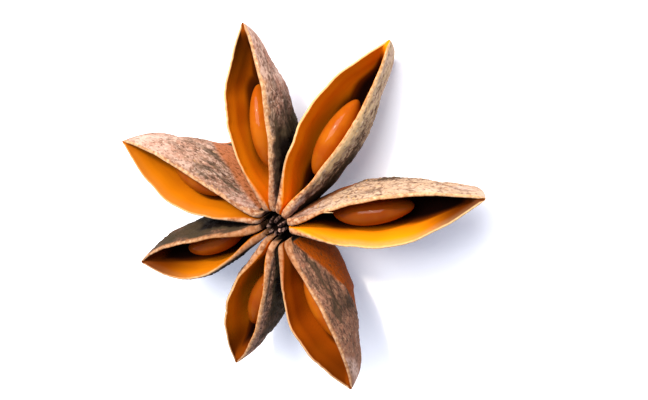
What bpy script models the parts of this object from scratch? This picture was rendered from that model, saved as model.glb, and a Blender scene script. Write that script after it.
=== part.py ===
"""Star anise pod: seven open, boat-shaped carpels round a short core, one seed in each, and a stub of stalk.

The model is in metres with +Z up. The pod lies on the keels of its carpels with its open face up, and the
origin is at the middle of the underside of its box. Every size below is in millimetres and every angle in
degrees. A carpel is worked out in its own frame: X outwards from the core, Y to the left, Z up from the rim.
"""

import math
from collections import namedtuple

import bmesh
import bpy
from mathutils import Matrix, Vector

MM = 0.001

# The carpels. heading turns a carpel about the pod's axis, pitch lifts its tip, roll leans its opening
# to one side and bend carries its tip sideways. arch is how far its rim bulges up, left and right are how
# far its two walls stand open, depth runs from the rim to the keel, and nose is what its blunt tip adds.
Carpel = namedtuple("Carpel", "heading length pitch arch left right roll bend depth nose")
CARPELS = (
    Carpel(heading=29, length=17.2, pitch=-4, arch=1.5, left=1.90, right=1.10, roll=-9, bend=0.8,
           depth=9.4, nose=2.2),
    Carpel(heading=-32, length=17.6, pitch=-6, arch=1.6, left=1.70, right=1.05, roll=2, bend=1.0,
           depth=8.1, nose=0.8),
    Carpel(heading=-66, length=19.0, pitch=-17, arch=1.3, left=1.75, right=1.30, roll=-5, bend=-0.4,
           depth=8.0, nose=2.2),
    Carpel(heading=-115, length=18.8, pitch=-7, arch=1.4, left=1.30, right=1.85, roll=3, bend=0.2,
           depth=9.0, nose=2.0),
    Carpel(heading=179, length=15.5, pitch=2, arch=2.0, left=0.95, right=1.60, roll=-2, bend=-2.3,
           depth=9.0, nose=1.6),
    Carpel(heading=124, length=16.1, pitch=-6, arch=1.4, left=0.95, right=1.45, roll=1, bend=-0.6,
           depth=9.1, nose=0.8),
    Carpel(heading=76, length=17.0, pitch=-6, arch=1.6, left=1.60, right=0.90, roll=-2, bend=-0.6,
           depth=9.1, nose=1.4),
)
INNER_RADIUS = 1.5        # where the carpels' inner ends stand round the pit

# A carpel's outline from above.
EDGE = 0.55               # half the width of the two lips where the walls don't stand open
CORE_EDGE = 0.1           # how much wider they are at the core
RIM_SHIFT = 1.08          # moves the widest place of the opening outwards: 1 would be half way
RIM_POINT = 1.2           # how pointed the opening's two ends are
TIP_BLUNT = 14            # how late the width closes at the tip, and how roundly
TIP_ROUND = 0.65
WIDEST_WEDGE = 24         # a carpel takes at most this much of the turn to either side of its heading
PRESSED = 1.0             # neighbours run into each other by this angle near the core
WEDGE_BLEND = 0.25        # how softly a wall runs into the flank that its neighbour presses flat

# Its sides and keel.
FULLEST = 1.95            # the sides swell to this beyond the lips, however little a wall stands open
BELLY_RISE = 0.8          # moves the fullest place up towards the rim: 1 would be half way down
KEEL_EDGE = 0.65          # how blunt the keel is: 1 would be a sharp V
HUB_DEPTH = 0.65          # the depth at the core, as a share of the full depth
DEEPEST = 0.3             # the share of the length at which a carpel is deepest
KEEL_CURVE = 1.9          # how roundly the keel rises from there to the tip: 1 would be straight
NOSE_RUN = (0.72, 0.95)   # the nose grows between these shares of the length
NOSE_BLUNT = 40           # how late it closes at the tip
ARCH_SHIFT = 0.9          # moves the top of the rim's arch inwards: 1 would be half way
FINGER_ROUND = 0.5        # radius of a carpel's inner end, seen from the side

# Its wall and hollow.
LIP = 0.3                 # thickness of a carpel's wall at the rim
WALL = 0.45               # its thickness from LIP_FALL below the rim
LIP_FALL = 1.5
FINGER = 0.35             # how much thicker a lip is at the core, where it ends like a finger
FINGER_RUN = (2.5, 5.5)   # it thins to the plain lip between these distances from the pod's axis
FLOOR = 0.7               # thickness of its keel
MOUTH = (-0.02, 0.16)     # the hollow deepens between these shares of the length
TIP_SOLID = (0.84, 0.985)  # and it runs out between these
SLIT = 0.1                # half the width that stays open where the two lips meet
SLIT_SHARE = 0.6          # the most of the width that the slit may take
SLIT_DEPTH = 1.6          # how deep the hollow is at the core
FLOOR_ROUND = 6           # how flat the bottom of the hollow is: 2 would be a round gutter
THINNEST = 0.01           # a length that stands for nothing where a section closes

# The core under the carpels, as radius and height from the plane of the face.
CORE = ((0.0, -1.6), (2.3, -1.8), (2.5, -4.0), (1.9, -5.4), (1.2, -6.0), (0.95, -7.2), (0.0, -7.2))
COLUMELLA_RADIUS = 0.65
COLUMELLA_TAPER = 0.85
COLUMELLA_TOP = -0.4
COLUMELLA_ROOT = 0.5      # how far it reaches down into the core
COLUMELLA_LOBES = 7
LOBE_DEPTH = 0.1          # how far the lobes stand out, as a share of its radius

# The seeds stand on edge in the carpels. reach is from the pod's axis to a seed's middle, side is how
# far it sits off the carpel's centre line, drop is how far below the rim's ends and turn slews it.
Seed = namedtuple("Seed", "reach side drop length height thickness turn")
SEEDS = (
    Seed(reach=8.9, side=0.1, drop=1.8, length=6.6, height=4.2, thickness=2.85, turn=1),
    Seed(reach=8.7, side=0.2, drop=1.6, length=7.3, height=3.9, thickness=2.4, turn=3),
    Seed(reach=9.6, side=-0.2, drop=1.75, length=7.4, height=4.0, thickness=2.55, turn=4),
    Seed(reach=8.9, side=0.05, drop=1.8, length=7.1, height=4.2, thickness=2.6, turn=-5),
    Seed(reach=8.0, side=-0.1, drop=1.7, length=6.8, height=4.0, thickness=2.5, turn=-1),
    Seed(reach=8.5, side=0.2, drop=1.8, length=6.8, height=4.0, thickness=2.5, turn=-4),
    Seed(reach=8.2, side=-0.1, drop=1.8, length=7.0, height=4.0, thickness=2.5, turn=3),
)
SEED_LEAN = 0.12          # how much less full the outer end is than the inner one
SEED_POINT = 0.08         # and both ends than the middle
SEED_BACK = 0.93          # thickness half way up the seed, as a share of its full thickness
SEED_TOP = 0.12           # how much thicker it is towards its top

WORN = 0.25               # how much the lowest keels are worn flat where the pod rests

# Fineness of the solids.
STATIONS = 20             # along a carpel
SIDE_POINTS = 6           # down each side of a section, outside and inside alike
CORE_STEPS = 28           # round the core
LOBE_SEGMENTS = 6         # round each lobe of the columella
SEED_SEGMENTS = 14        # round a seed
SEED_RINGS = 10           # along it
SMOOTH_ANGLE = 50         # edges sharper than this stay sharp
MERGE = 0.01              # points closer than this are one
GROUND = 60               # side of the block that wears the keels flat


def smooth_step(value, start, end):
    """0 before start, 1 after end and an even rise between."""
    t = min(max((value - start) / (end - start), 0.0), 1.0)
    return t * t * (3 - 2 * t)


def soft_min(a, b, blend):
    """The smaller of two lengths, with a rounded corner where they cross."""
    t = min(max(0.5 + 0.5 * (b - a) / blend, 0.0), 1.0)
    return b + (a - b) * t - blend * t * (1 - t)


def wedge_angles(index):
    """The angle that a carpel may fill to its right and to its left, half way to its neighbours."""
    heading = CARPELS[index].heading
    before = CARPELS[(index - 1) % len(CARPELS)].heading
    after = CARPELS[(index + 1) % len(CARPELS)].heading
    left = min(((before - heading) % 360) / 2, WIDEST_WEDGE) + PRESSED
    right = min(((heading - after) % 360) / 2, WIDEST_WEDGE) + PRESSED
    return {1: math.radians(left), -1: math.radians(right)}


def depth_at(carpel, u):
    """How deep the boat is at share u of its length: shallower at the core, nothing at the tip."""
    if u < DEEPEST:
        return carpel.depth * (HUB_DEPTH + (1 - HUB_DEPTH) * math.sin(math.pi / 2 * u / DEEPEST))
    nose = carpel.nose * smooth_step(u, *NOSE_RUN) * (1 - u**NOSE_BLUNT)
    return carpel.depth * (1 - ((u - DEEPEST) / (1 - DEEPEST)) ** KEEL_CURVE) + nose


def half_width(carpel, wedges, side, u, x, share):
    """Half the outer width at a share of the depth, for one side."""
    gape = carpel.left if side > 0 else carpel.right
    rim = gape * math.sin(math.pi * u**RIM_SHIFT) ** RIM_POINT + EDGE + CORE_EDGE * (1 - u)
    bow = (FULLEST - gape) * math.sin(math.pi * share**BELLY_RISE) * math.sin(math.pi * u**BELLY_RISE)
    wide = rim * (1 - share**2) ** KEEL_EDGE + bow
    return soft_min(wide, x * math.tan(wedges[side]), WEDGE_BLEND) * (1 - u**TIP_BLUNT) ** TIP_ROUND


def rim_height(carpel, u, x):
    """The rim's arch, rounded down at the inner end like a finger tip."""
    back = 1 - min((x - INNER_RADIUS) / FINGER_ROUND, 1.0)
    return carpel.arch * math.sin(math.pi * u**ARCH_SHIFT) - FINGER_ROUND * (1 - math.sqrt(1 - back**2))


def ring_places():
    """The places round a section: down the outside and up again, then the same in the hollow.

    Each is a surface, a side, 1 for left and -1 for right, and a share of the depth.
    """
    down = [step / SIDE_POINTS for step in range(SIDE_POINTS + 1)]
    up = down[-2::-1]
    outside = [("outside", 1, share) for share in down] + [("outside", -1, share) for share in up]
    hollow = [("hollow", -1, share) for share in down] + [("hollow", 1, share) for share in up]
    return outside + hollow


def section_point(carpel, wedges, u, surface, side, share):
    """A point of the section at share u of the length, in the carpel's own frame."""
    x = INNER_RADIUS + (carpel.length - INNER_RADIUS) * u
    top = rim_height(carpel, u, x)
    deep = depth_at(carpel, u)
    if surface == "outside":
        return x, side * half_width(carpel, wedges, side, u, x, share), top - deep * share
    hollow = smooth_step(u, *MOUTH) * (1 - smooth_step(u, *TIP_SOLID))
    drop = max((deep - FLOOR) * hollow, SLIT_DEPTH * (1 - u)) * share
    outside = half_width(carpel, wedges, side, u, x, min(drop / max(deep, THINNEST), 1.0))
    wall = LIP + (WALL - LIP) * smooth_step(drop, 0.0, LIP_FALL) + FINGER * (1 - smooth_step(x, *FINGER_RUN))
    inside = max(outside - wall, min(SLIT, SLIT_SHARE * outside))
    return x, side * inside * (1 - share**FLOOR_ROUND), top - drop


def on_pod(carpel, x, y, z):
    """A point of a carpel's own frame, in the pod's frame, in metres."""
    u = (x - INNER_RADIUS) / (carpel.length - INNER_RADIUS)
    point = Matrix.Rotation(math.radians(carpel.roll), 3, "X") @ Vector((0.0, y, z))
    point.x = x - INNER_RADIUS
    point.y += carpel.bend * u * abs(u)
    point = Matrix.Rotation(math.radians(-carpel.pitch), 3, "Y") @ point
    point.x += INNER_RADIUS
    return Matrix.Rotation(math.radians(carpel.heading), 3, "Z") @ point * MM


def add_object(name, bm, material, collection):
    """A new object from a bmesh, closed, facing out and shaded smooth but for its sharp edges."""
    bmesh.ops.remove_doubles(bm, verts=bm.verts, dist=MERGE * MM)
    bmesh.ops.dissolve_degenerate(bm, edges=bm.edges, dist=MERGE * MM / 2)
    bmesh.ops.recalc_face_normals(bm, faces=bm.faces)
    mesh = bpy.data.meshes.new(name)
    bm.to_mesh(mesh)
    bm.free()
    mesh.materials.append(material)
    mesh.shade_smooth()
    mesh.set_sharp_from_angle(angle=math.radians(SMOOTH_ANGLE))
    obj = bpy.data.objects.new(name, mesh)
    collection.objects.link(obj)
    return obj


def add_material(name, colour, roughness):
    material = bpy.data.materials.new(name)
    material.use_nodes = True
    shader = material.node_tree.nodes["Principled BSDF"]
    shader.inputs["Base Color"].default_value = (*colour, 1.0)
    shader.inputs["Roughness"].default_value = roughness
    shader.inputs["Metallic"].default_value = 0.0
    return material


def add_carpel(index, material, collection):
    """One boat: a grid whose rows run along the carpel and whose columns run round its section."""
    carpel = CARPELS[index]
    wedges = wedge_angles(index)
    places = ring_places()
    bm = bmesh.new()
    bmesh.ops.create_grid(bm, x_segments=STATIONS, y_segments=len(places), size=0.5)
    for vert in bm.verts:
        u = (1 - math.cos(math.pi * (vert.co.x + 0.5))) / 2
        place = places[round((vert.co.y + 0.5) * len(places)) % len(places)]
        vert.co = on_pod(carpel, *section_point(carpel, wedges, u, *place))
    bmesh.ops.remove_doubles(bm, verts=bm.verts, dist=MERGE * MM)
    bmesh.ops.holes_fill(bm, edges=[edge for edge in bm.edges if edge.is_boundary], sides=0)
    return add_object(f"carpel_{index + 1}", bm, material, collection)


def add_core(material, collection):
    """The turned core that joins the carpels and ends in a stub of stalk."""
    bm = bmesh.new()
    verts = [bm.verts.new((radius * MM, 0.0, height * MM)) for radius, height in CORE]
    edges = [bm.edges.new(pair) for pair in zip(verts, verts[1:])]
    bmesh.ops.spin(bm, geom=verts + edges, axis=(0, 0, 1), cent=(0, 0, 0), steps=CORE_STEPS,
                   angle=math.tau, use_merge=True)
    return add_object("husk", bm, material, collection)


def add_columella(material, collection):
    """The lobed knob in the middle of the pit."""
    height = COLUMELLA_TOP - CORE[0][1] + COLUMELLA_ROOT
    bm = bmesh.new()
    bmesh.ops.create_cone(bm, cap_ends=True, segments=LOBE_SEGMENTS * COLUMELLA_LOBES, depth=height * MM,
                          radius1=COLUMELLA_RADIUS * MM, radius2=COLUMELLA_TAPER * COLUMELLA_RADIUS * MM)
    for vert in bm.verts:
        turn = math.atan2(vert.co.y, vert.co.x)
        vert.co.xy *= 1 - LOBE_DEPTH + LOBE_DEPTH * math.cos(COLUMELLA_LOBES * turn)
        vert.co.z += (COLUMELLA_TOP - height / 2) * MM
    return add_object("columella", bm, material, collection)


def add_seed(index, material, collection):
    """A smooth flattened seed, a little narrower at its outer end."""
    seed = SEEDS[index]
    carpel = CARPELS[index]
    bm = bmesh.new()
    bmesh.ops.create_uvsphere(bm, u_segments=SEED_SEGMENTS, v_segments=SEED_RINGS, radius=0.5)
    turn = Matrix.Rotation(math.radians(seed.turn), 3, "Z")
    for vert in bm.verts:
        y, z, x = vert.co
        full = 1 - SEED_LEAN * (2 * x) - SEED_POINT * (2 * x) ** 2
        thick = seed.thickness * full * (SEED_BACK + SEED_TOP * (2 * z))
        point = turn @ Vector((x * seed.length, y * thick, z * seed.height * full))
        vert.co = on_pod(carpel, seed.reach + point.x, seed.side + point.y, point.z - seed.drop)
    return add_object(f"seed_{index + 1}", bm, material, collection)


def combine(base, other, operation):
    """A Boolean modifier on base, with the other object kept as a cutter."""
    other.hide_render = True
    other.display_type = "WIRE"
    modifier = base.modifiers.new(f"{operation.lower()} {other.name}", "BOOLEAN")
    modifier.object = other
    modifier.operation = operation
    modifier.solver = "EXACT"


def weld(obj):
    """Joins the points that the Booleans leave almost on each other."""
    modifier = obj.modifiers.new("weld", "WELD")
    modifier.merge_threshold = MERGE * MM


def lowest_and_middle(objects):
    """The middle of the objects' box in X and Y, and its lowest height, in the world."""
    bpy.context.view_layer.update()
    points = [obj.matrix_world @ vert.co for obj in objects for vert in obj.data.vertices]
    low = [min(point[axis] for point in points) for axis in range(3)]
    high = [max(point[axis] for point in points) for axis in range(3)]
    return (low[0] + high[0]) / 2, (low[1] + high[1]) / 2, low[2]


def clear_scene():
    for obj in list(bpy.data.objects):
        bpy.data.objects.remove(obj, do_unlink=True)


def main():
    clear_scene()
    parts = bpy.data.collections.new("star anise pod")
    tools = bpy.data.collections.new("cutters")
    bpy.context.scene.collection.children.link(parts)
    bpy.context.scene.collection.children.link(tools)

    husk_brown = add_material("husk", (0.30, 0.15, 0.07), 0.75)
    seed_amber = add_material("seed", (0.45, 0.13, 0.02), 0.2)

    pod = bpy.data.objects.new("star_anise", None)
    parts.objects.link(pod)
    husk = add_core(husk_brown, parts)
    carpels = [add_carpel(index, husk_brown, tools) for index in range(len(CARPELS))]
    columella = add_columella(husk_brown, tools)
    seeds = [add_seed(index, seed_amber, parts) for index in range(len(SEEDS))]
    for obj in [husk, columella, *carpels, *seeds]:
        obj.parent = pod
    for piece in [*carpels, columella]:
        combine(husk, piece, "UNION")

    middle_x, middle_y, lowest = lowest_and_middle(carpels)
    pod.location = (-middle_x, -middle_y, -lowest - WORN * MM)

    bm = bmesh.new()
    bmesh.ops.create_cube(bm, size=GROUND * MM)
    bmesh.ops.translate(bm, verts=bm.verts, vec=(0, 0, -GROUND / 2 * MM))
    combine(husk, add_object("ground", bm, husk_brown, tools), "DIFFERENCE")
    weld(husk)


main()
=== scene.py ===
"""Star anise pod, dressed: rough brown husk, golden lining and glossy seeds, on a pale floor."""

import math
from collections import namedtuple

import bmesh
import bpy
from mathutils import Matrix, Vector, noise


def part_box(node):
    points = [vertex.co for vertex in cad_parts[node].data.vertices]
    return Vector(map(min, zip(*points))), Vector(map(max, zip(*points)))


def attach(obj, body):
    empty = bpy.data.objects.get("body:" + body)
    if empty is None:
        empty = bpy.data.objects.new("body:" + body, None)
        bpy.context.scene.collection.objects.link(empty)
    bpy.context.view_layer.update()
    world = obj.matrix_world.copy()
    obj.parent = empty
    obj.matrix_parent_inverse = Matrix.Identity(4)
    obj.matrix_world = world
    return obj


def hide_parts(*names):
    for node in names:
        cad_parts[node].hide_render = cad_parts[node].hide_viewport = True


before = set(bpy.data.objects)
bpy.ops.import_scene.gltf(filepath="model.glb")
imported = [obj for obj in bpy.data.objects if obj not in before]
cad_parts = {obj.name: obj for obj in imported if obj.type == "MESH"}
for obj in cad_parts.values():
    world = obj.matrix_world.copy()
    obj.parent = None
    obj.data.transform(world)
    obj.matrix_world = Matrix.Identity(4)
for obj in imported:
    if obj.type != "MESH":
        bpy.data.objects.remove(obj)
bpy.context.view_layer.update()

MM = 0.001

# The carpels, in millimetres and degrees, as the solids have them. A carpel is worked out in its own
# frame: X outwards from the pod's axis, Y to the left, Z up from the plane of the face.
Carpel = namedtuple("Carpel", "heading length pitch arch left right roll bend depth nose")
CARPELS = (
    Carpel(heading=29, length=17.2, pitch=-4, arch=1.5, left=1.90, right=1.10, roll=-9, bend=0.8,
           depth=9.4, nose=2.2),
    Carpel(heading=-32, length=17.6, pitch=-6, arch=1.6, left=1.70, right=1.05, roll=2, bend=1.0,
           depth=8.1, nose=0.8),
    Carpel(heading=-66, length=19.0, pitch=-17, arch=1.3, left=1.75, right=1.30, roll=-5, bend=-0.4,
           depth=8.0, nose=2.2),
    Carpel(heading=-115, length=18.8, pitch=-7, arch=1.4, left=1.30, right=1.85, roll=3, bend=0.2,
           depth=9.0, nose=2.0),
    Carpel(heading=179, length=15.5, pitch=2, arch=2.0, left=0.95, right=1.60, roll=-2, bend=-2.3,
           depth=9.0, nose=1.6),
    Carpel(heading=124, length=16.1, pitch=-6, arch=1.4, left=0.95, right=1.45, roll=1, bend=-0.6,
           depth=9.1, nose=0.8),
    Carpel(heading=76, length=17.0, pitch=-6, arch=1.6, left=1.60, right=0.90, roll=-2, bend=-0.6,
           depth=9.1, nose=1.4),
)
INNER_RADIUS = 1.5
LIP = 0.24
WALL = 0.45
LIP_FALL = 1.5
FINGER = 0.38
FINGER_RUN = (2.5, 5.5)
FLOOR = 0.7
EDGE = 0.55
FULLEST = 1.95
HUB_DEPTH = 0.65
DEEPEST = 0.3
KEEL_CURVE = 1.9
KEEL_EDGE = 0.65
NOSE_RUN = (0.72, 0.95)
NOSE_BLUNT = 40
TIP_SOLID = (0.84, 0.985)
MOUTH = (-0.02, 0.16)
WIDEST_WEDGE = 24
PRESSED = 1.0
SLIT = 0.1
SLIT_DEPTH = 1.6
FINGER_ROUND = 0.5

Seed = namedtuple("Seed", "reach side drop length height thickness turn")
SEEDS = (
    Seed(reach=8.9, side=0.1, drop=1.8, length=6.6, height=4.2, thickness=2.85, turn=1),
    Seed(reach=8.7, side=0.2, drop=1.6, length=7.3, height=3.9, thickness=2.4, turn=3),
    Seed(reach=9.6, side=-0.2, drop=1.75, length=7.4, height=4.0, thickness=2.55, turn=4),
    Seed(reach=8.9, side=0.05, drop=1.8, length=7.1, height=4.2, thickness=2.6, turn=-5),
    Seed(reach=8.0, side=-0.1, drop=1.7, length=6.8, height=4.0, thickness=2.5, turn=-1),
    Seed(reach=8.5, side=0.2, drop=1.8, length=6.8, height=4.0, thickness=2.5, turn=-4),
    Seed(reach=8.2, side=-0.1, drop=1.8, length=7.0, height=4.0, thickness=2.5, turn=3),
)

# How each carpel is coloured. gold is how yellow its lining is and dim how dark, a painted shade that
# stands in for the light the wall gets; tip_dark is how much darker it gets towards the tip, painted shade of
# its own walls, dark_from the share of the hollow's depth where painted shade starts to blacken it, and rim how
# far the lip's pale colour fades into it. brown and cream tint its skin. grime is how dark the skin
# is near the core, partly its own dark mottling and partly painted shade of the gaps between the carpels, out to
# the share grime_to of the length and from the share grime_below of the depth down. facet is how far
# out the flank that the neighbour pressed flat reaches, rust how orange it is and dusk how dark, a painted
# shade of the gap between the carpels.
Look = namedtuple("Look", "gold dim tip_dark dark_from rim brown cream grime grime_to grime_below facet rust dusk")
LOOKS = (
    Look(gold=0.90, dim=0.30, tip_dark=0.02, dark_from=0.42, rim=0.10, brown=0.05, cream=0.10,
         grime=0.50, grime_to=0.55, grime_below=0.00, facet=0.72, rust=0.3, dusk=0.0),
    Look(gold=0.50, dim=0.02, tip_dark=0.45, dark_from=0.55, rim=0.00, brown=0.12, cream=0.00,
         grime=1.45, grime_to=0.58, grime_below=-0.10, facet=0.50, rust=0.5, dusk=1.4),
    Look(gold=1.00, dim=0.00, tip_dark=0.08, dark_from=0.56, rim=0.00, brown=0.00, cream=0.75,
         grime=0.75, grime_to=0.62, grime_below=0.12, facet=0.50, rust=0.5, dusk=1.4),
    Look(gold=0.90, dim=0.00, tip_dark=0.60, dark_from=0.32, rim=0.50, brown=0.05, cream=0.50,
         grime=0.72, grime_to=0.68, grime_below=0.26, facet=0.50, rust=0.5, dusk=0.8),
    Look(gold=0.05, dim=0.27, tip_dark=0.22, dark_from=0.58, rim=0.00, brown=0.90, cream=0.00,
         grime=0.66, grime_to=0.72, grime_below=-0.15, facet=0.78, rust=1.0, dusk=0.0),
    Look(gold=0.90, dim=0.00, tip_dark=0.50, dark_from=0.54, rim=0.00, brown=0.60, cream=0.15,
         grime=1.00, grime_to=0.85, grime_below=-0.05, facet=0.40, rust=0.5, dusk=1.6),
    Look(gold=1.00, dim=0.24, tip_dark=0.30, dark_from=0.38, rim=0.20, brown=1.00, cream=0.00,
         grime=0.95, grime_to=1.10, grime_below=-0.30, facet=0.40, rust=0.5, dusk=1.9),
)
# How dark each seed is, partly its own tone and partly painted shade where it lies deep under its carpel's walls.
SEED_SHADED_TONES = (0.7, 1.0, 0.95, 0.42, 0.95, 0.6, 0.5)

# Roundness of the lips, and the width of the pale band below them; one wall has a wider band.
LIP_ROUND = 0.8
PALE_BAND = 0.12
WIDE_BAND = {(1, -1): 0.12, (2, -1): 0.5}

# The splinter on the fourth carpel's rim.
SPLINTER_AT = 0.24
SPLINTER_RUN = 0.055
SPLINTER_CURL = 0.22
SPLINTER_THICK = 0.16

# The heading of the columella's palest knobs.
KNOBS_PALE = math.radians(-160)

# The keel's uneven crest, and the place where the first carpel's keel curls out.
CREST = 0.3
CURL = 2.6
CURL_AT = 0.49

# Fineness of the dressed pieces.
STATIONS = 150
OUTSIDE_STEPS = 56
HOLLOW_STEPS = 34
LIP_STEPS = 5

# The view: the camera looks down on the open face from the front, off the pod's axis by VIEW_TILT.
# FACE_TURN turns the pod's frame so that the picture's up is the face's up.
VIEW_TILT = 32.2
VIEW_SIDE = 35.3
FACE_TURN = -125
VIEW_DISTANCE = 78.0
VIEW_ASIDE = (4.5, 2.5)
LENS = 50.3


def smooth_step(value, start, end):
    t = min(max((value - start) / (end - start), 0.0), 1.0)
    return t * t * (3 - 2 * t)


def soft_min(a, b, blend=0.25):
    t = min(max(0.5 + 0.5 * (b - a) / blend, 0.0), 1.0)
    return b + (a - b) * t - blend * t * (1 - t)


def wedge_angles(index):
    heading = CARPELS[index].heading
    before = CARPELS[(index - 1) % len(CARPELS)].heading
    after = CARPELS[(index + 1) % len(CARPELS)].heading
    left = min(((before - heading) % 360) / 2, WIDEST_WEDGE) + PRESSED
    right = min(((heading - after) % 360) / 2, WIDEST_WEDGE) + PRESSED
    return {1: math.radians(left), -1: math.radians(right)}


def depth_at(carpel, u):
    if u < DEEPEST:
        return carpel.depth * (HUB_DEPTH + (1 - HUB_DEPTH) * math.sin(math.pi / 2 * u / DEEPEST))
    nose = carpel.nose * smooth_step(u, *NOSE_RUN) * (1 - u**NOSE_BLUNT)
    return carpel.depth * (1 - ((u - DEEPEST) / (1 - DEEPEST)) ** KEEL_CURVE) + nose


def half_width(carpel, wedges, side, u, x, share):
    gape = carpel.left if side > 0 else carpel.right
    rim = gape * math.sin(math.pi * u**1.08) ** 1.2 + EDGE + 0.1 * (1 - u)
    bow = (FULLEST - gape) * math.sin(math.pi * share**0.8) * math.sin(math.pi * u**0.8)
    wide = rim * (1 - share**2) ** KEEL_EDGE + bow
    return soft_min(wide, x * math.tan(wedges[side])) * (1 - u**14) ** 0.65


def rim_height(carpel, u, x):
    back = 1 - min((x - INNER_RADIUS) / FINGER_ROUND, 1.0)
    return carpel.arch * math.sin(math.pi * u**0.9) - FINGER_ROUND * (1 - math.sqrt(1 - back**2))


def wall_at(outside, x, drop):
    """Half the width of the hollow where the outside's half width and the drop below the rim are these."""
    wall = LIP + (WALL - LIP) * smooth_step(drop, 0.0, LIP_FALL) + FINGER * (1 - smooth_step(x, *FINGER_RUN))
    return max(outside - wall, min(SLIT, 0.6 * outside))


def section_point(carpel, wedges, u, surface, side, share):
    """A point of the section. On a lip, share runs from the outside over the top to the hollow."""
    x = INNER_RADIUS + (carpel.length - INNER_RADIUS) * u
    top = rim_height(carpel, u, x)
    deep = depth_at(carpel, u)
    rim = half_width(carpel, wedges, side, u, x, 0.0)
    radius = (rim - wall_at(rim, x, 0.0)) / 2
    shoulder = LIP_ROUND * radius
    if surface == "outside":
        share += shoulder / max(deep, shoulder, 0.001) * (1 - share)
        return x, side * half_width(carpel, wedges, side, u, x, share), top - deep * share
    if surface == "lip":
        turn = math.pi * share
        return x, side * (rim - radius + radius * math.cos(turn)), top - shoulder * (1 - math.sin(turn))
    hollow = smooth_step(u, *MOUTH) * (1 - smooth_step(u, *TIP_SOLID))
    fall = max((deep - FLOOR) * hollow, SLIT_DEPTH * (1 - u), shoulder)
    drop = shoulder + (fall - shoulder) * share
    outside = half_width(carpel, wedges, side, u, x, min(drop / max(deep, 0.01), 1.0))
    return x, side * wall_at(outside, x, drop) * (1 - share**6), top - drop


def on_pod(carpel, x, y, z):
    """A point of a carpel's own frame, in the pod's frame, in millimetres."""
    u = (x - INNER_RADIUS) / (carpel.length - INNER_RADIUS)
    point = Matrix.Rotation(math.radians(carpel.roll), 3, "X") @ Vector((0.0, y, z))
    point.x = x - INNER_RADIUS
    point.y += carpel.bend * u * abs(u)
    point = Matrix.Rotation(math.radians(-carpel.pitch), 3, "Y") @ point
    point.x += INNER_RADIUS
    return Matrix.Rotation(math.radians(carpel.heading), 3, "Z") @ point


def pod_offset():
    """Where the pod's axis and face stand in the frame, in millimetres, from the husk's own box."""
    points = []
    for index, carpel in enumerate(CARPELS):
        wedges = wedge_angles(index)
        for step in range(81):
            for side in (1, -1):
                for share in (0.0, 0.25, 0.5, 0.75, 1.0):
                    points.append(on_pod(carpel, *section_point(carpel, wedges, step / 80, "outside", side, share)))
    low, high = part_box("husk")
    offset = [(low[axis] + high[axis]) / 2 / MM - (min(p[axis] for p in points) + max(p[axis] for p in points)) / 2
              for axis in range(2)]
    return Vector((*offset, high[2] / MM - max(p.z for p in points)))


OFFSET = pod_offset()


def ring_places():
    """The places round a section: outside, over the right lip, through the hollow, over the left lip."""
    down = [step / OUTSIDE_STEPS for step in range(OUTSIDE_STEPS + 1)]
    places = [("outside", 1, share) for share in down] + [("outside", -1, share) for share in down[-2::-1]]
    over = [step / LIP_STEPS for step in range(1, LIP_STEPS)]
    places += [("lip", -1, share) for share in over]
    down = [step / HOLLOW_STEPS for step in range(HOLLOW_STEPS + 1)]
    places += [("hollow", -1, share) for share in down] + [("hollow", 1, share) for share in down[-2::-1]]
    return places + [("lip", 1, share) for share in over[::-1]]


def skin_relief(x, fall, seed):
    """The outside's wrinkles at a place, from -1 in the pits to 1 on the ridges."""
    warp = 1.2 * noise.noise(Vector((x * 0.4, fall * 0.4, seed)))
    lump = noise.noise(Vector((x * 0.45 + warp, fall * 0.7, seed + 3)))
    crease = 1 - 3 * abs(noise.noise(Vector((x * 0.7 + warp, fall * 1.3 - warp, seed + 5))))
    fine = 1 - 3 * abs(noise.noise(Vector((x * 1.8 - warp, fall * 3.0 + warp, seed + 9))))
    grain = noise.noise(Vector((x * 4.0, fall * 6.0, seed + 13)))
    return max(-1.0, min(1.0, 0.5 * lump + 0.4 * crease + 0.35 * fine + 0.3 * grain - 0.15))


def seed_shadow(seed, x, y, z):
    """How much painted contact shadow lies beside the carpel's seed: 1 beside it, falling to 0 about a millimetre off
    it.
    """
    turn = Matrix.Rotation(math.radians(-seed.turn), 3, "Z")
    off = turn @ Vector((x - seed.reach, y - seed.side, z + seed.drop))
    away = Vector((off.x / seed.length, off.y / seed.thickness, off.z / seed.height)).length * 2
    return 1 - smooth_step(away, 1.03, 1.5)


def rest_on_floor(bm):
    """Worn flat where it stands: nothing of the pod goes below the floor."""
    for vert in bm.verts:
        vert.co.z = max(vert.co.z, -OFFSET.z)


def add_piece(name, bm, materials):
    bmesh.ops.translate(bm, verts=bm.verts, vec=OFFSET)
    bmesh.ops.scale(bm, verts=bm.verts, vec=(MM, MM, MM))
    mesh = bpy.data.meshes.new(name)
    bm.to_mesh(mesh)
    bm.free()
    for material in materials:
        mesh.materials.append(material)
    mesh.shade_smooth()
    piece = bpy.data.objects.new(name, mesh)
    bpy.context.scene.collection.objects.link(piece)
    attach(piece, "root")
    return piece


def add_layers(bm):
    names = ("along", "fall", "ridge", "pressed", "lip", "inner", "gold", "shade", "brown", "cream")
    return {name: bm.verts.layers.float.new(name) for name in names}


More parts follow.
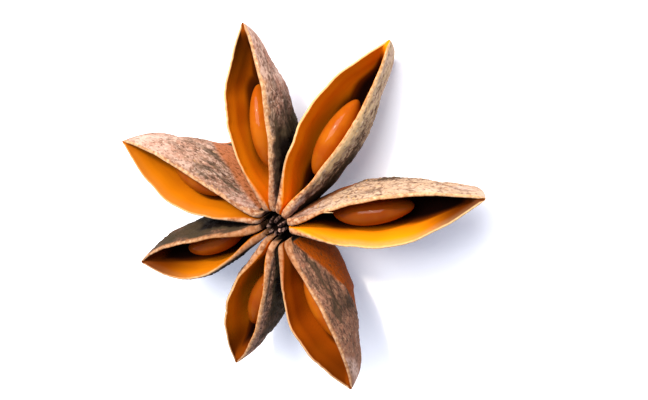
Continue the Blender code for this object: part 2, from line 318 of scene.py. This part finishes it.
def add_carpel(index, materials):
    carpel = CARPELS[index]
    look = LOOKS[index]
    open_side = 1 if carpel.left > carpel.right else -1
    wedges = wedge_angles(index)
    places = ring_places()
    bm = bmesh.new()
    layers = add_layers(bm)
    bmesh.ops.create_grid(bm, x_segments=STATIONS, y_segments=len(places), size=0.5)
    moves = {}
    for vert in bm.verts:
        u = (1 - math.cos(math.pi * (vert.co.x + 0.5))) / 2
        ring = round((vert.co.y + 0.5) * len(places)) % len(places)
        surface, side, share = places[ring]
        x, y, z = section_point(carpel, wedges, u, surface, side, share)
        fall = rim_height(carpel, u, x) - z
        wave = 0.16 * noise.noise(Vector((x * 0.45, side * 3.0, index * 7.0)))
        wave += 0.04 * noise.noise(Vector((x * 2.4, side * 3.0, index * 7.0))) * (1 - smooth_step(fall, 0.0, 0.8))
        wave *= smooth_step(u, 0.1, 0.3) * (1 - u**6)
        upper = 1 - smooth_step(fall, 0.0, 5.0)
        vert.co = on_pod(carpel, x, y + side * wave, z + min(wave, 0.0) * upper)
        ridge = skin_relief(x, side * fall, index * 11.0) if surface == "outside" else 0.0
        pressed = smooth_step(share - 0.05 - 0.75 * u - (u / look.facet) ** 6, -0.03, 0.03)
        ragged = 0.5 + noise.noise(Vector((x * 1.3, side * 5.0, index * 3.0)))
        wide = WIDE_BAND.get((index, side), 0.0)
        wide *= smooth_step(u, 0.12, 0.3) * (1 - smooth_step(u, 0.6, 0.85))
        band = (PALE_BAND + wide) * (0.5 + ragged) + 0.4 * (1 - smooth_step(x, 1.8, 3.2))
        pale = 1.0
        if surface == "outside":
            pale = 1 - smooth_step(fall, band * 0.6, band * 1.5)
            worn = noise.noise(Vector((x * 2.2, side * fall * 4.0, index * 23.0)))
            pale *= 1 - smooth_step(fall, 0.1, 0.25) * smooth_step(worn, -0.05, 0.3) * smooth_step(x, 2.0, 3.0)
        if surface == "lip":
            pale = 1 - smooth_step(share, 0.5, 0.95) * smooth_step(x, 2.0, 3.0)
        if surface == "hollow":
            pale = look.rim * (1 - smooth_step(fall, 0.1, 1.1)) * smooth_step(u, 0.1, 0.3) * (1 - u**3) * (side == open_side)
        vert[layers["along"]] = x + 40 * index
        vert[layers["fall"]] = side * fall
        vert[layers["ridge"]] = ridge
        vert[layers["pressed"]] = pressed if surface == "outside" else 0.0
        patch = noise.noise(Vector((x * 0.5, side * fall * 0.6, index * 13.0)))
        curl = math.exp(-(((u - CURL_AT) / 0.05) ** 2)) * (index == 0)
        if surface == "outside":
            # Darker near the core: partly the skin's own dark mottling, partly painted shade of the gaps between the
            # carpels.
            grime = look.grime * (1 - smooth_step(u, look.grime_to - 0.25, look.grime_to + 0.15))
            grime *= 1 - 0.5 * smooth_step(fall, 4.0, 7.0)
            shade = grime * smooth_step(share, look.grime_below, look.grime_below + 0.22) + 0.45 * patch
            # Painted shade: the flank beside the core goes black where the gap between the carpels lies in shade.
            shade += max(look.dusk - 0.8, 0.0) * smooth_step(fall, 0.5, 1.3) * (1 - smooth_step(u, 0.25, 0.5))
            flecks = smooth_step(noise.noise(Vector((x * 1.6, side * fall * 2.4, index * 17.0))), 0.15, 0.4)
            gold = flecks * (1 - smooth_step(u, 0.35, 0.7))
            gold += (look.rust - gold) * pressed
            # Painted shade on the flank that the neighbour pressed flat, where the gap between the carpels lies in
            # shade.
            dusk = look.dusk * (1 - smooth_step(u, 0.5, 0.8)) * (1 - smooth_step(fall, 3.0, 6.0))
            shade += (dusk - shade) * pressed
            shade -= 0.25 * smooth_step(u, 0.6, 0.95) * (1 - pressed)
            # Painted shadow in a streak under the curled keel edge.
            shade += 1.5 * curl * smooth_step(share, 0.84, 0.88) * (1 - smooth_step(share, 0.91, 0.95))
            # Painted shade: the carpel's inner end goes black down in the pit.
            shade += 2.5 * smooth_step(fall, 0.3, 0.8) * (1 - smooth_step(x, 1.6, 2.1))
        else:
            sunk = share if surface == "hollow" else 0.0
            # Painted shade on the lining: deep in the hollow it blackens, sooner on the far wall and near the core; the
            # whole wall is darker where it would get less light, towards the tip and near the core; and a painted
            # contact shadow lies beside the seed.
            dark_from = look.dark_from - 0.2 * (side != open_side) - 0.16 * (1 - smooth_step(u, 0.2, 0.5))
            shade = smooth_step(sunk, dark_from, dark_from + 0.34) * (1 - smooth_step(u, 0.84, 0.96))
            dim = look.dim + look.tip_dark * smooth_step(u, 0.5, 0.95) + 0.1 * (1 - smooth_step(u, 0.0, 0.25))
            shade = max(shade, dim, seed_shadow(SEEDS[index], x, y, z) * smooth_step(sunk, 0.0, 0.3))
            gold = look.gold * (1 - 0.4 * sunk) + 0.25 * patch
        vert[layers["shade"]] = shade
        vert[layers["gold"]] = max(gold, 0.0)
        if surface == "outside":
            vert[layers["brown"]] = look.brown
            cream = max(look.cream, 2 * wide * (1 - smooth_step(fall, 0.6, 1.4)))
            vert[layers["cream"]] = cream * smooth_step(u, 0.05, 0.35)
        else:
            vert[layers["brown"]] = look.brown * (1 - 0.8 * smooth_step(u, 0.2, 0.5))
            vert[layers["cream"]] = smooth_step(u, 0.1, 0.4) * (1 - 0.4 * look.brown) * (1 if side == open_side else 0.35)
        vert[layers["lip"]] = pale
        vert[layers["inner"]] = float(surface == "hollow" or surface == "lip" and share > 0.3)
        if surface == "outside":
            crest = max(0.0, 0.35 + noise.noise(Vector((x * 0.8, 0.0, index * 19.0))))
            crest += CURL * curl
            crest *= CREST * smooth_step(share, 0.88, 0.99) * smooth_step(u, 0.1, 0.3)
            moves[vert] = (0.2 * ridge * (1 - 0.85 * pressed) + crest) * smooth_step(fall, 0.1, 0.8) * (1 - u**4)
    bmesh.ops.remove_doubles(bm, verts=bm.verts, dist=0.0005)
    bmesh.ops.holes_fill(bm, edges=[edge for edge in bm.edges if edge.is_boundary], sides=0)
    bmesh.ops.recalc_face_normals(bm, faces=bm.faces)
    bm.normal_update()
    for vert, move in moves.items():
        if vert.is_valid:
            vert.co += vert.normal * move
    for face in bm.faces:
        face.material_index = int(all(vert[layers["inner"]] > 0.5 for vert in face.verts))
    rest_on_floor(bm)
    piece = add_piece(f"carpel_{index + 1}", bm, materials)
    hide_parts("husk")
    return piece


def add_splinter(material):
    """A thin torn strip that curls up off the fourth carpel's rim, near the core."""
    carpel = CARPELS[3]
    wedges = wedge_angles(3)
    bm = bmesh.new()
    layers = add_layers(bm)
    bmesh.ops.create_cone(bm, cap_ends=True, segments=10, radius1=0.5, radius2=0.08, depth=1.0)
    bmesh.ops.subdivide_edges(bm, edges=[edge for edge in bm.edges if abs(edge.verts[0].co.z - edge.verts[1].co.z) > 0.5],
                              cuts=7)
    for vert in bm.verts:
        run = vert.co.z + 0.5
        u = SPLINTER_AT + SPLINTER_RUN * run
        x, y, z = section_point(carpel, wedges, u, "lip", 1, 0.5)
        inwards = SPLINTER_CURL * run**2
        lift = SPLINTER_CURL * math.sin(math.pi * run * 0.75)
        vert.co = on_pod(carpel, x, y - inwards + vert.co.x * SPLINTER_THICK, z + lift + vert.co.y * SPLINTER_THICK / 2)
        vert[layers["lip"]] = 1.0
        vert[layers["cream"]] = 0.8
    bmesh.ops.recalc_face_normals(bm, faces=bm.faces)
    piece = add_piece("splinter", bm, [material])
    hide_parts("husk")
    return piece


def add_seed(index, material):
    seed = SEEDS[index]
    carpel = CARPELS[index]
    bm = bmesh.new()
    shaded_tone = bm.verts.layers.float.new("shaded_tone")
    bmesh.ops.create_uvsphere(bm, u_segments=72, v_segments=64, radius=0.5)
    turn = Matrix.Rotation(math.radians(seed.turn), 3, "Z")
    for vert in bm.verts:
        y, z, x = vert.co
        # Painted shade: darker towards the end nearer the core and towards the bottom.
        vert[shaded_tone] = SEED_SHADED_TONES[index] * (1 - 0.3 * smooth_step(-x, -0.1, 0.5)) * (0.8 + 0.2 * smooth_step(z, -0.1, 0.4))
        full = 1 - 0.12 * (2 * x) - 0.08 * (2 * x) ** 2
        thick = seed.thickness * full * (0.93 + 0.12 * (2 * z))
        point = turn @ Vector((x * seed.length, y * thick, z * seed.height * full))
        vert.co = on_pod(carpel, seed.reach + point.x, seed.side + point.y, point.z - seed.drop)
    bmesh.ops.recalc_face_normals(bm, faces=bm.faces)
    piece = add_piece(f"seed_coat_{index + 1}", bm, [material])
    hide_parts(f"seed_{index + 1}")
    return piece


def add_core(materials):
    """The pit's floor with its lobed columella, the core and the stub of stalk, turned in one piece."""
    profile = ((0.0, -1.15), (0.2, -1.0), (0.32, -0.65), (0.45, -0.45), (0.6, -0.5), (0.72, -0.9), (0.8, -1.6),
               (1.0, -2.3), (1.4, -2.4), (2.3, -1.9), (2.5, -4.0), (1.9, -5.4), (1.2, -6.0), (1.0, -6.6),
               (0.95, -7.15), (0.8, -7.2), (0.0, -7.1))
    bm = bmesh.new()
    layers = add_layers(bm)
    verts = [bm.verts.new((radius, 0.0, height)) for radius, height in profile]
    edges = [bm.edges.new(pair) for pair in zip(verts, verts[1:])]
    bmesh.ops.subdivide_edges(bm, edges=edges, cuts=5, smooth=0.6)
    bmesh.ops.spin(bm, geom=bm.verts[:] + bm.edges[:], axis=(0, 0, 1), cent=(0, 0, 0), steps=112,
                   angle=math.tau, use_merge=True)
    bmesh.ops.remove_doubles(bm, verts=bm.verts, dist=0.0005)
    for vert in bm.verts:
        radius = math.hypot(vert.co.x, vert.co.y)
        turn = math.atan2(vert.co.y, vert.co.x)
        lobes = smooth_step(radius, 0.15, 0.5) * (1 - smooth_step(radius, 0.9, 1.2)) * smooth_step(vert.co.z, -2.2, -1.2)
        uneven = noise.noise(Vector((2.2 * math.cos(turn), 2.2 * math.sin(turn), 4.0)))
        vert.co.xy *= 1 + lobes * (0.14 * math.cos(7 * turn) + 0.2 * uneven)
        vert.co.z += lobes * (0.16 * math.cos(7 * turn) + 0.25 * uneven)
        ridge = skin_relief(vert.co.z * 1.5, turn * 2.5, 91.0)
        vert[layers["ridge"]] = ridge
        vert[layers["along"]] = vert.co.z
        vert[layers["fall"]] = turn
        knob = smooth_step(math.cos(7 * turn + 2 * uneven), -0.3, 0.5) * smooth_step(radius, 0.3, 0.45)
        knob *= 0.4 + 0.6 * smooth_step(math.cos(turn - KNOBS_PALE), -0.7, 0.5)
        vert[layers["lip"]] = knob * (1 - smooth_step(radius, 0.8, 0.95)) * smooth_step(vert.co.z, -1.6, -0.8)
        vert[layers["inner"]] = float(vert.co.z > -3.2)
        under = smooth_step(-vert.co.z, 3.0, 5.0)
        vert.co.xy *= 1 + 0.06 * ridge * under
    bmesh.ops.recalc_face_normals(bm, faces=bm.faces)
    for face in bm.faces:
        face.material_index = int(all(vert[layers["inner"]] > 0.5 for vert in face.verts))
    rest_on_floor(bm)
    piece = add_piece("core", bm, materials)
    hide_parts("husk")
    return piece


# Materials


def add_node(tree, kind, inputs=None, **settings):
    """A node with its settings and its input values; an input given as a socket is linked."""
    node = tree.nodes.new(kind)
    for name, value in settings.items():
        setattr(node, name, value)
    for name, value in (inputs or {}).items():
        if isinstance(value, bpy.types.NodeSocket):
            tree.links.new(value, node.inputs[name])
        else:
            node.inputs[name].default_value = value
    return node


def attribute(tree, name):
    return add_node(tree, "ShaderNodeAttribute", attribute_name=name).outputs["Fac"]


def mix(tree, factor, first, second, blend="MIX"):
    node = tree.nodes.new("ShaderNodeMix")
    node.data_type = "RGBA"
    node.blend_type = blend
    for socket, value in ((node.inputs[0], factor), (node.inputs[6], first), (node.inputs[7], second)):
        if isinstance(value, bpy.types.NodeSocket):
            tree.links.new(value, socket)
        elif isinstance(value, tuple):
            socket.default_value = (*value, 1.0)
        else:
            socket.default_value = value
    return node.outputs[2]


def ramp(tree, factor, low, high):
    node = add_node(tree, "ShaderNodeMapRange", {"Value": factor, "From Min": low, "From Max": high},
                    interpolation_type="SMOOTHSTEP")
    return node.outputs["Result"]


def new_material(name, colour, roughness):
    material = bpy.data.materials.new(name)
    material.use_nodes = True
    material.diffuse_color = (*colour, 1.0)
    shader = material.node_tree.nodes["Principled BSDF"]
    shader.inputs["Base Color"].default_value = (*colour, 1.0)
    shader.inputs["Roughness"].default_value = roughness
    return material, material.node_tree, shader


def fibre_group():
    """Streaks that run along a wall: a value that changes fast down it and slowly along it."""
    tree = bpy.data.node_groups.new("fibres", "ShaderNodeTree")
    for name, default in (("Along", 0.0), ("Fall", 0.0), ("Along scale", 0.4), ("Fall scale", 4.0), ("Detail", 4.0)):
        socket = tree.interface.new_socket(name, in_out="INPUT", socket_type="NodeSocketFloat")
        socket.default_value = default
    tree.interface.new_socket("Value", in_out="OUTPUT", socket_type="NodeSocketFloat")
    entry = tree.nodes.new("NodeGroupInput")
    leave = tree.nodes.new("NodeGroupOutput")
    long = add_node(tree, "ShaderNodeMath", {0: entry.outputs["Along"], 1: entry.outputs["Along scale"]},
                    operation="MULTIPLY")
    wide = add_node(tree, "ShaderNodeMath", {0: entry.outputs["Fall"], 1: entry.outputs["Fall scale"]},
                    operation="MULTIPLY")
    place = add_node(tree, "ShaderNodeCombineXYZ", {"X": long.outputs[0], "Y": wide.outputs[0]})
    streaks = add_node(tree, "ShaderNodeTexNoise", {"Vector": place.outputs[0], "Scale": 1.0,
                                                    "Detail": entry.outputs["Detail"], "Distortion": 0.6})
    tree.links.new(streaks.outputs["Fac"], leave.inputs["Value"])
    return tree


def fibres(tree, group, along_scale, fall_scale, detail=4.0):
    node = tree.nodes.new("ShaderNodeGroup")
    node.node_tree = group
    tree.links.new(attribute(tree, "along"), node.inputs["Along"])
    tree.links.new(attribute(tree, "fall"), node.inputs["Fall"])
    node.inputs["Along scale"].default_value = along_scale
    node.inputs["Fall scale"].default_value = fall_scale
    node.inputs["Detail"].default_value = detail
    return node.outputs["Value"]


def depth_below_rim(tree):
    return add_node(tree, "ShaderNodeMath", {0: attribute(tree, "fall")}, operation="ABSOLUTE").outputs[0]


def object_noise(tree, size_mm, detail=4.0):
    place = add_node(tree, "ShaderNodeTexCoord").outputs["Object"]
    node = add_node(tree, "ShaderNodeTexNoise", {"Vector": place, "Scale": 1 / (size_mm * MM), "Detail": detail})
    return node.outputs["Fac"]


def multiply(tree, first, second):
    return add_node(tree, "ShaderNodeMath", {0: first, 1: second}, operation="MULTIPLY").outputs[0]


def add_values(tree, first, second):
    return add_node(tree, "ShaderNodeMath", {0: first, 1: second}, operation="ADD").outputs[0]


def lip_colour(tree, grain):
    """The colour of the lips and of the fingers they end in: pinkish tan and mottled, browner or creamier."""
    mottle = ramp(tree, object_noise(tree, 0.35, 4.0), 0.38, 0.60)
    colour = mix(tree, mottle, (0.19, 0.065, 0.028), (0.40, 0.195, 0.10))
    colour = mix(tree, multiply(tree, ramp(tree, grain, 0.48, 0.70), 0.65), colour, (0.54, 0.38, 0.26))
    colour = mix(tree, multiply(tree, attribute(tree, "brown"), 0.65), colour, (0.20, 0.08, 0.03))
    return mix(tree, multiply(tree, attribute(tree, "cream"), 0.7), colour, (0.62, 0.43, 0.21))


def skin_material(group):
    material, tree, shader = new_material("husk_skin", (0.26, 0.16, 0.11), 0.75)
    shader.inputs["Specular IOR Level"].default_value = 0.05
    specks = fibres(tree, group, 2.3, 4.6, 5.0)
    flecks = fibres(tree, group, 3.5, 6.5, 3.0)
    folds = fibres(tree, group, 0.3, 1.9, 3.0)
    blotch = fibres(tree, group, 0.5, 0.9, 3.0)
    grain = object_noise(tree, 0.2, 3.0)
    shade = attribute(tree, "shade")
    ridge = attribute(tree, "ridge")
    pale = mix(tree, ramp(tree, blotch, 0.38, 0.62), (0.37, 0.240, 0.195), (0.28, 0.138, 0.10))
    pale = mix(tree, attribute(tree, "cream"), pale, (0.45, 0.335, 0.19))
    pale = mix(tree, attribute(tree, "brown"), pale, (0.185, 0.074, 0.040))
    pale = mix(tree, ramp(tree, shade, -0.05, -0.6), pale, (0.48, 0.335, 0.28))
    # Darker in the pits of the wrinkles: painted shade.
    colour = mix(tree, ramp(tree, ridge, 0.1, -0.8), pale, (0.13, 0.072, 0.045))
    # Dark specks are the skin's own mottling; they grow thicker where the shade mask, partly painted shade, is high.
    thick = add_values(tree, specks, multiply(tree, shade, 0.20))
    colour = mix(tree, multiply(tree, ramp(tree, thick, 0.44, 0.62), 0.75), colour, (0.16, 0.078, 0.050))
    colour = mix(tree, multiply(tree, ramp(tree, thick, 0.56, 0.72), 0.85), colour, (0.06, 0.028, 0.018))
    light = multiply(tree, ramp(tree, flecks, 0.54, 0.68), ramp(tree, shade, 1.1, 0.3))
    fleck = mix(tree, attribute(tree, "gold"), (0.45, 0.32, 0.25), (0.48, 0.24, 0.05))
    fleck = mix(tree, attribute(tree, "brown"), fleck, (0.32, 0.18, 0.10))
    colour = mix(tree, multiply(tree, light, 0.8), colour, fleck)
    creased = multiply(tree, ramp(tree, folds, 0.48, 0.60), ramp(tree, shade, -0.2, 0.5))
    colour = mix(tree, multiply(tree, creased, 0.8), colour, (0.045, 0.028, 0.016))
    facet = mix(tree, attribute(tree, "gold"), (0.32, 0.115, 0.05), (0.235, 0.042, 0.0005))
    facet = mix(tree, ramp(tree, specks, 0.48, 0.66), facet, (0.13, 0.035, 0.006))
    colour = mix(tree, attribute(tree, "pressed"), colour, facet)
    # Painted shade where the shade mask is high, going to black in the gaps and the pit; near the core it also carries
    # the skin's own dark mottling.
    colour = mix(tree, ramp(tree, shade, 0.45, 1.15), colour, (0.036, 0.024, 0.013))
    colour = mix(tree, ramp(tree, shade, 1.2, 1.8), colour, (0.004, 0.002, 0.0015))
    colour = mix(tree, attribute(tree, "lip"), colour, lip_colour(tree, flecks))
    tree.links.new(colour, shader.inputs["Base Color"])
    rough = add_values(tree, grain, multiply(tree, specks, -1.2))
    bump = add_node(tree, "ShaderNodeBump", {"Height": rough, "Strength": 0.8, "Distance": 0.00006})
    tree.links.new(bump.outputs["Normal"], shader.inputs["Normal"])
    return material


def lining_material(group):
    material, tree, shader = new_material("lining", (0.60, 0.14, 0.005), 0.5)
    shader.inputs["Specular IOR Level"].default_value = 0.0
    streaks = fibres(tree, group, 0.25, 2.2)
    gold = attribute(tree, "gold")
    shade = attribute(tree, "shade")
    colour = mix(tree, ramp(tree, gold, 0.0, 1.0), (0.53, 0.090, 0.002), (0.82, 0.240, 0.003))
    colour = mix(tree, multiply(tree, ramp(tree, streaks, 0.45, 0.75), 0.12), colour, (0.40, 0.075, 0.003))
    # Painted shade: darker, then black, where the shade mask says the hollow lies in shade.
    colour = mix(tree, ramp(tree, shade, 0.0, 0.55), colour, (0.12, 0.022, 0.001))
    colour = mix(tree, ramp(tree, shade, 0.4, 1.0), colour, (0.010, 0.003, 0.002))
    colour = mix(tree, attribute(tree, "lip"), colour, lip_colour(tree, fibres(tree, group, 2.0, 4.0, 3.0)))
    tree.links.new(colour, shader.inputs["Base Color"])
    bump = add_node(tree, "ShaderNodeBump", {"Height": streaks, "Strength": 0.1, "Distance": 0.00003})
    tree.links.new(bump.outputs["Normal"], shader.inputs["Normal"])
    return material


def pit_material():
    # The pit's near-black is partly its own dark colour and partly painted shade of the deep pit.
    material, tree, shader = new_material("pit", (0.012, 0.006, 0.005), 0.85)
    shader.inputs["Specular IOR Level"].default_value = 0.0
    grain = object_noise(tree, 0.3, 4.0)
    lobes = mix(tree, ramp(tree, grain, 0.40, 0.60), (0.05, 0.026, 0.022), (0.32, 0.19, 0.15))
    colour = mix(tree, attribute(tree, "lip"), (0.004, 0.002, 0.0015), lobes)
    tree.links.new(colour, shader.inputs["Base Color"])
    return material


def seed_material():
    material, tree, shader = new_material("seed_coat", (0.46, 0.10, 0.005), 0.5)
    shader.inputs["Specular IOR Level"].default_value = 0.0
    shader.inputs["Coat Weight"].default_value = 0.2
    shader.inputs["Coat Roughness"].default_value = 0.06
    patches = object_noise(tree, 1.6, 2.0)
    colour = mix(tree, ramp(tree, patches, 0.35, 0.7), (0.33, 0.080, 0.003), (0.28, 0.052, 0.002))
    # Painted shade: the seed darkens where its tone layer is low.
    colour = mix(tree, attribute(tree, "shaded_tone"), (0.08, 0.012, 0.002), colour)
    tree.links.new(colour, shader.inputs["Base Color"])
    return material


# Stage, light and camera


def add_floor():
    bm = bmesh.new()
    bmesh.ops.create_grid(bm, x_segments=1, y_segments=1, size=2.0)
    mesh = bpy.data.meshes.new("floor")
    bm.to_mesh(mesh)
    bm.free()
    floor = bpy.data.objects.new("floor", mesh)
    floor.location.z = -0.00002
    material, _, shader = new_material("floor", (0.86, 0.86, 0.88), 0.9)
    shader.inputs["Emission Color"].default_value = (0.8, 0.85, 1.0, 1.0)
    shader.inputs["Emission Strength"].default_value = 0.27
    mesh.materials.append(material)
    bpy.context.scene.collection.objects.link(floor)


def add_area_light(name, heading, elevation, distance, size, power, colour=(1, 1, 1)):
    light = bpy.data.lights.new(name, "AREA")
    light.size = size
    light.energy = power
    light.color = colour
    lamp = bpy.data.objects.new(name, light)
    turn, lift = math.radians(heading), math.radians(elevation)
    toward = Vector((math.cos(turn) * math.cos(lift), math.sin(turn) * math.cos(lift), math.sin(lift)))
    lamp.location = toward * distance + Vector((0, 0, 0.005))
    lamp.rotation_euler = toward.to_track_quat("Z", "Y").to_euler()
    bpy.context.scene.collection.objects.link(lamp)


def add_world():
    world = bpy.data.worlds.new("studio")
    world.use_nodes = True
    sky = world.node_tree.nodes["Background"]
    sky.inputs["Color"].default_value = (0.68, 0.76, 1.0, 1.0)
    sky.inputs["Strength"].default_value = 0.5
    bpy.context.scene.world = world


def add_camera():
    """Sets the camera as far off the pod's axis and as far away as the view needs."""
    side = math.radians(VIEW_SIDE)
    tilt = Matrix.Rotation(math.radians(VIEW_TILT), 3, Vector((-math.sin(side), math.cos(side), 0)))
    turn = Matrix.Rotation(math.radians(FACE_TURN), 3, "Z") @ tilt
    camera = bpy.data.objects.new("camera", bpy.data.cameras.new("camera"))
    camera.data.lens = LENS
    camera.data.clip_start = 0.001
    place = (OFFSET + turn @ Vector((*VIEW_ASIDE, VIEW_DISTANCE))) * MM
    camera.matrix_world = Matrix.Translation(place) @ turn.to_4x4()
    bpy.context.scene.collection.objects.link(camera)
    bpy.context.scene.camera = camera


def main():
    group = fibre_group()
    skin = skin_material(group)
    lining = lining_material(group)
    pit = pit_material()
    coat = seed_material()
    for index in range(len(CARPELS)):
        add_carpel(index, [skin, lining])
    add_splinter(skin)
    add_core([skin, pit])
    for index in range(len(SEEDS)):
        add_seed(index, coat)
    add_floor()
    add_world()
    add_area_light("window", heading=-33, elevation=50, distance=0.5, size=0.40, power=5.0)
    add_area_light("lamp", heading=-33, elevation=50, distance=0.5, size=0.055, power=2.5,
                   colour=(1.0, 0.88, 0.68))
    add_camera()
    bpy.context.scene.view_settings.view_transform = "Standard"


main()
